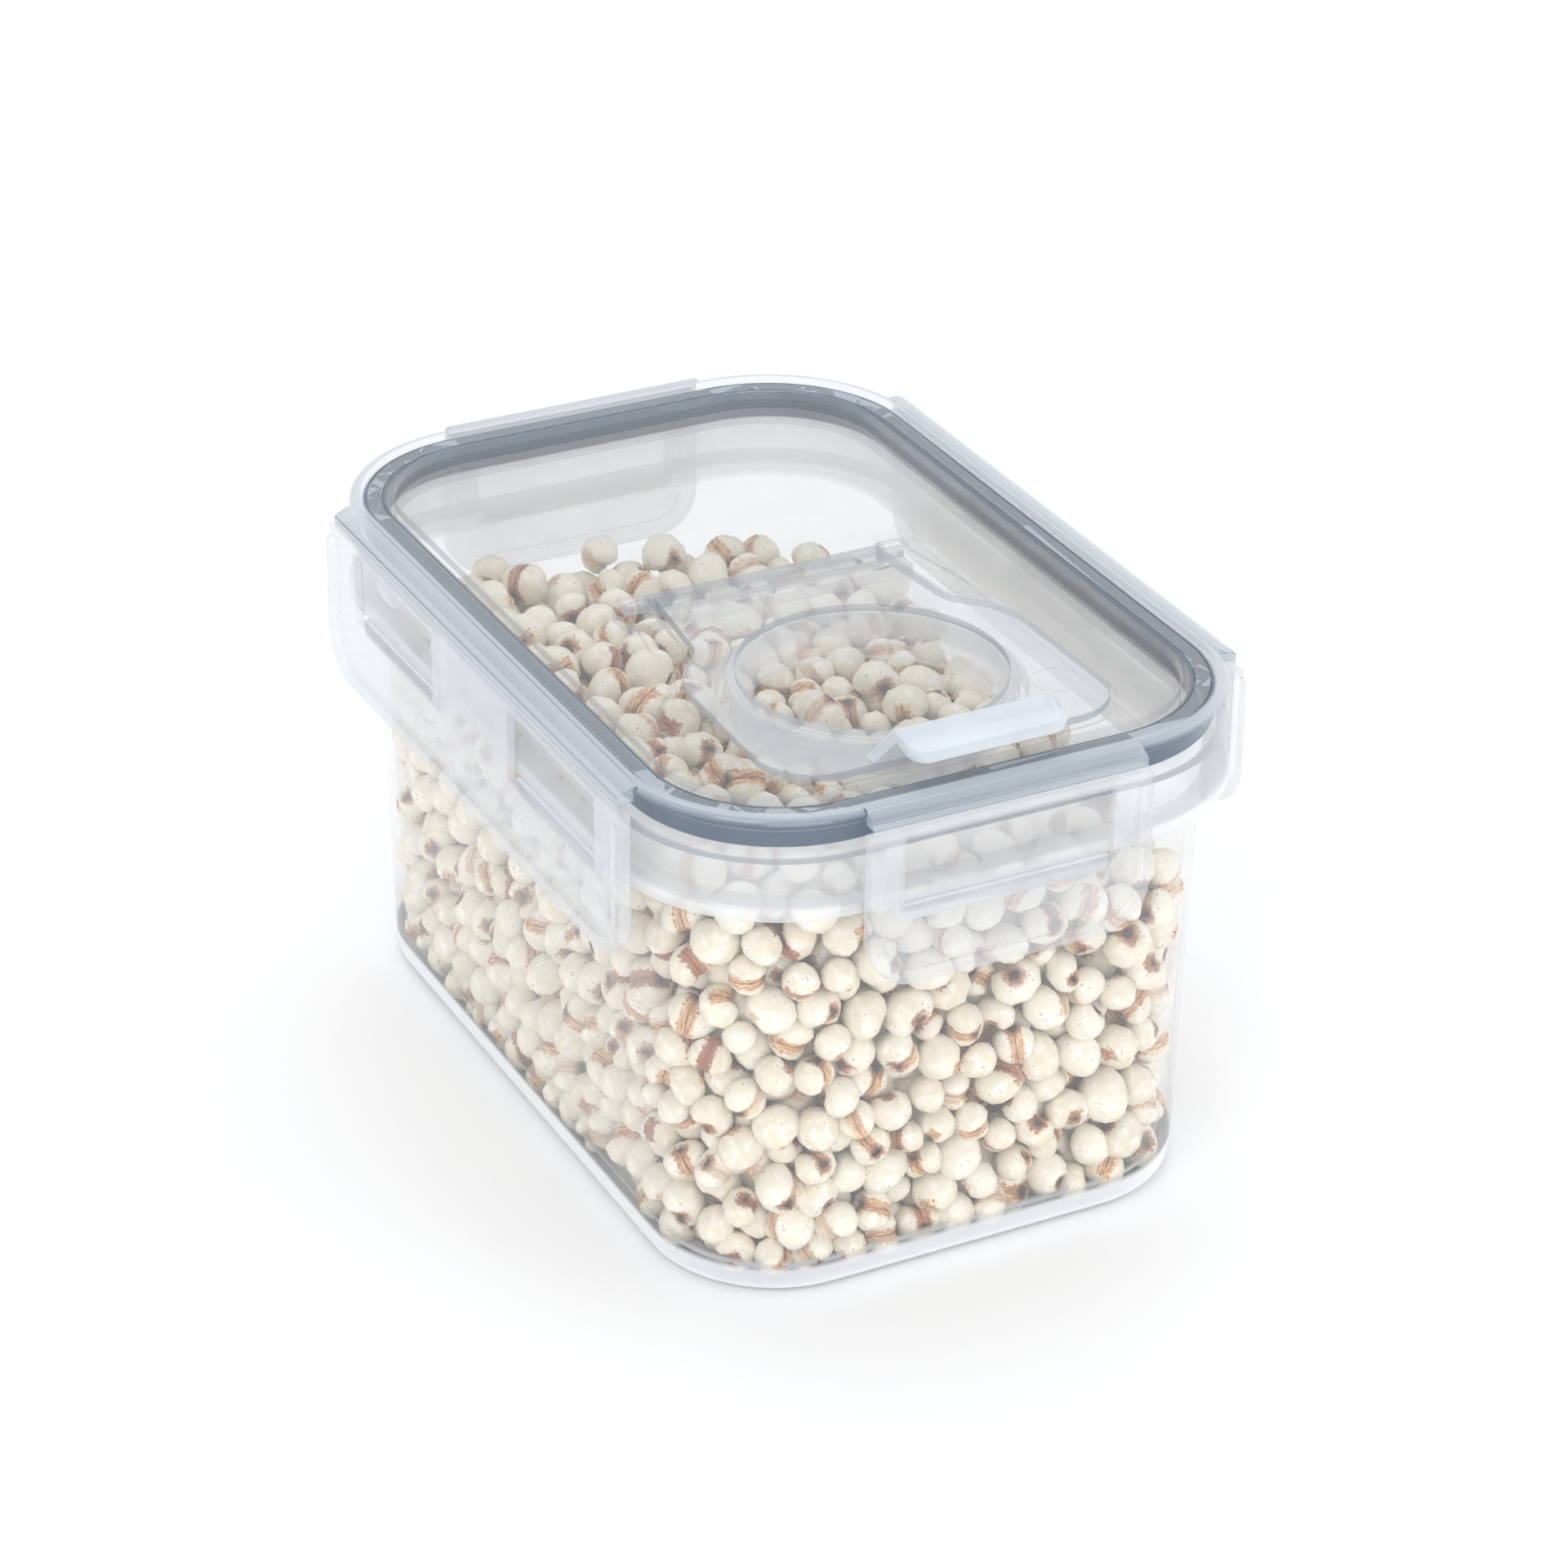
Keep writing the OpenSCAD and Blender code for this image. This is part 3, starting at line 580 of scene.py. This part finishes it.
def kernel_mesh(blunt):
    """One kernel about its own centre, in mm: the crease runs along Z on its +X side, the
    hilum at the -Z end. Its own coordinates are kept for the colours."""
    bm = bmesh.new()
    bmesh.ops.create_uvsphere(bm, u_segments=12, v_segments=7, radius=1.0)
    for v in bm.verts:
        ring = math.hypot(v.co.x, v.co.y)
        turn = math.atan2(v.co.y, v.co.x)
        turn -= 0.45 * math.sin(turn)
        v.co.x = ring * math.cos(turn) * KERNEL_HALF[0]
        v.co.y = ring * math.sin(turn) * KERNEL_HALF[1] * (1 - 0.12 * v.co.z)
        v.co.z *= KERNEL_HALF[2] * (blunt if v.co.z < 0 else 1.0)
        if v.co.x > 0 or ring < 0.05:
            groove = CREASE_DEPTH * math.exp(-(v.co.y / CREASE_HALF) ** 2)
            lip = LIP_HEIGHT * math.exp(-((abs(v.co.y) - LIP_PLACE) / 0.8) ** 2)
            v.co.x += (lip - groove) * min(1, ring * 1.6)
        if ring < 0.05 and v.co.z < 0:
            v.co.z += 0.9
    own = bm.verts.layers.float_vector.new("kernel")
    for v in bm.verts:
        v[own] = v.co
    bmesh.ops.recalc_face_normals(bm, faces=bm.faces)
    mesh = bpy.data.meshes.new("kernel")
    bm.to_mesh(mesh)
    bm.free()
    return mesh


HEAP_LIMIT = 79.0  # mm, keeps the kernels below the lid


def heap_top(x, y):
    """Height of the heap's surface, in mm: a mound towards the front left corner."""
    mound = 15 * np.exp(-((x + 48) ** 2 + (y + 70) ** 2) / (2 * 30.0 ** 2))
    level = 67.5 - 0.11 * x + mound + 1.2 * np.sin(x / 9) * np.cos(y / 11)
    return np.minimum(level, HEAP_LIMIT)


def wall_gap(points):
    """How far each point is from the tub's inner wall, and the way out to it, in mm."""
    over = np.abs(points[:, :2]) - np.array([CORE_X, CORE_Y]) / MM
    out = np.maximum(over, 0)
    length = np.linalg.norm(out, axis=1)
    reach = np.where(length > 0, length, over.max(axis=1))
    radius = BASE_IN_R / MM + (MOUTH_IN_R - BASE_IN_R) / MOUTH_Z * points[:, 2]
    way = np.zeros_like(points)
    way[:, :2] = np.sign(points[:, :2]) * out / np.maximum(length, 1e-6)[:, None]
    return radius - reach, way


def settled_kernels(draw):
    """Centres and radii of the kernels in the tub, pushed apart and let sink till they lie close."""
    across = np.arange(-50, 50, GRID_STEP)
    along = np.arange(-75, 75, GRID_STEP)
    up = np.arange(5.5, 84, GRID_STEP * 0.82)
    grid = np.array([
        (x + (i % 2) * GRID_STEP / 2, y + (i % 2) * GRID_STEP / 2, z)
        for i, z in enumerate(up) for x in across for y in along
    ])
    grid += draw.uniform(-1.6, 1.6, grid.shape)
    radius = KERNEL_R * draw.uniform(0.82, 1.12, len(grid))
    gap, _ = wall_gap(grid)
    keep = (gap > radius * 0.6) & (grid[:, 2] < heap_top(grid[:, 0], grid[:, 1]) - radius * 0.7)
    points, radius = grid[keep], radius[keep]
    for turn in range(SETTLE_STEPS):
        if turn % 8 == 0:
            near = np.sum(points ** 2, axis=1)
            square = near[:, None] + near[None, :] - 2 * points @ points.T
            first, second = np.nonzero(np.triu(square < NEIGHBOUR_REACH ** 2, 1))
        between = points[second] - points[first]
        apart = np.linalg.norm(between, axis=1)
        wanted = (radius[first] + radius[second]) * CLOSE
        overlap = np.maximum(wanted - apart, 0)[:, None]
        push = overlap * PUSH * between / np.maximum(apart, 1e-6)[:, None]
        move = np.zeros_like(points)
        np.add.at(move, first, -push)
        np.add.at(move, second, push)
        points += np.clip(move, -1.0, 1.0)
        points[:, 2] -= np.where(points[:, 2] < 11, 0.3, 0.06)
        gap, way = wall_gap(points)
        points -= way * np.maximum(radius * WALL_REST - gap, 0)[:, None]
        lowest = FLOOR_TOP / MM + radius * FLOOR_REST
        highest = heap_top(points[:, 0], points[:, 1]) - radius * 0.4
        points[:, 2] = np.clip(points[:, 2], lowest, highest)
    return points, radius


def pour_kernels():
    """Fills the tub with kernels, as a few joined pieces of close size."""
    draw = np.random.default_rng(11)
    points, radius = settled_kernels(draw)
    gap, _ = wall_gap(points)
    depth = np.minimum(gap, heap_top(points[:, 0], points[:, 1]) - points[:, 2])
    depth = np.minimum(depth, points[:, 2] - FLOOR_TOP / MM + 6)
    seen = depth < KERNEL_LAYERS_SEEN
    points, radius = points[seen], radius[seen]
    shapes = [kernel_mesh(0.78), kernel_mesh(0.95)]
    order = np.argsort(points[:, 1])
    parts = np.array_split(order, 2)
    for name, part in zip(("kernels_front", "kernels_back"), parts):
        bm = bmesh.new()
        for i in part:
            spin = Quaternion(draw.normal(size=4)).normalized().to_matrix().to_4x4()
            size = radius[i] / KERNEL_R * MM
            stretch = Matrix.Diagonal((*(size * draw.uniform(0.94, 1.06, 3)), 1.0))
            one = shapes[int(draw.integers(2))].copy()
            one.transform(Matrix.Translation(Vector(points[i]) * MM) @ spin @ stretch)
            mark = one.attributes.new("kernel_seed", "FLOAT", "POINT")
            mark.data.foreach_set("value", np.full(len(one.vertices), draw.random(), np.float32))
            bm.from_mesh(one)
            bpy.data.meshes.remove(one)
        mesh = bpy.data.meshes.new(name)
        bm.to_mesh(mesh)
        bm.free()
        mesh.shade_smooth()
        mesh.materials.append(KERNEL)
        piece = bpy.data.objects.new(name, mesh)
        bpy.context.scene.collection.objects.link(piece)
        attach(piece, "tub")


pour_kernels()


# ---- Studio ----


FLOOR_HALF = 1.3
FLOOR_DROP = 0.0004
CAMERA_TURN = (-27.42, 28.53, 0.58)  # azimuth, elevation and roll, degrees
CAMERA_AIM = (1.85, -0.89, 50.17)  # mm
CAMERA_DISTANCE = 804.46  # mm
CAMERA_LENS = 109.72


def studio():
    """A pale floor, a white surround and large soft lamps."""
    bm = bmesh.new()
    bmesh.ops.create_grid(bm, x_segments=1, y_segments=1, size=FLOOR_HALF)
    mesh = bpy.data.meshes.new("studio_floor")
    bm.to_mesh(mesh)
    bm.free()
    mesh.materials.append(studio_white("studio_paper", "fbfbfb"))
    floor = bpy.data.objects.new("studio_floor", mesh)
    floor.location.z = -FLOOR_DROP
    bpy.context.scene.collection.objects.link(floor)
    world = bpy.data.worlds.new("studio")
    world.use_nodes = True
    surround = world.node_tree
    look = add(surround, "TexCoord").outputs["Generated"]
    height = add(surround, "SeparateXYZ", {0: look}).outputs[2]
    rise = add(surround, "MapRange", {"Value": height, "From Min": 0.0, "From Max": 0.9}).outputs["Result"]
    sky = add(surround, "Mix", {0: rise, 6: tone("eff0f2"), 7: tone("b3b7bc")}, data_type="RGBA")
    surround.links.new(sky.outputs[2], surround.nodes["Background"].inputs[0])
    surround.nodes["Background"].inputs[1].default_value = 1.08
    bpy.context.scene.world = world
    middle = (CAD_BOX[0] + CAD_BOX[1]) / 2
    for name, place, size, watts in (
        ("lamp_key", (-0.9, -0.7, 1.1), 0.7, 4.0),
        ("lamp_fill", (1.1, -0.6, 0.8), 1.2, 3.5),
        ("lamp_top", (0.1, 0.5, 1.4), 1.2, 8),
        ("lamp_front", (-0.35, -1.4, 0.4), 1.0, 6.5),
    ):
        lamp = bpy.data.lights.new(name, "AREA")
        lamp.size = size
        lamp.energy = watts
        holder = bpy.data.objects.new(name, lamp)
        holder.location = place
        holder.rotation_mode = "QUATERNION"
        holder.rotation_quaternion = (Vector(place) - middle).to_track_quat("Z", "Y")
        bpy.context.scene.collection.objects.link(holder)


def camera():
    """Three-quarter view from the front left, above."""
    azimuth, elevation, roll = (math.radians(a) for a in CAMERA_TURN)
    back = Vector((
        math.sin(azimuth) * math.cos(elevation),
        -math.cos(azimuth) * math.cos(elevation),
        math.sin(elevation),
    ))
    right = Vector((math.cos(azimuth), math.sin(azimuth), 0))
    up = back.cross(right)
    right, up = (
        math.cos(roll) * right + math.sin(roll) * up,
        math.cos(roll) * up - math.sin(roll) * right,
    )
    lens = bpy.data.cameras.new("camera")
    lens.lens = CAMERA_LENS
    lens.clip_start, lens.clip_end = 0.05, 20
    holder = bpy.data.objects.new("camera", lens)
    turn = Matrix((right, up, back)).transposed().to_4x4()
    place = Vector(CAMERA_AIM) * MM + back * CAMERA_DISTANCE * MM
    holder.matrix_world = Matrix.Translation(place) @ turn
    bpy.context.scene.collection.objects.link(holder)
    bpy.context.scene.camera = holder


studio()
camera()
bpy.context.scene.view_settings.view_transform = "Standard"
bpy.context.scene.cycles.transparent_max_bounces = 32
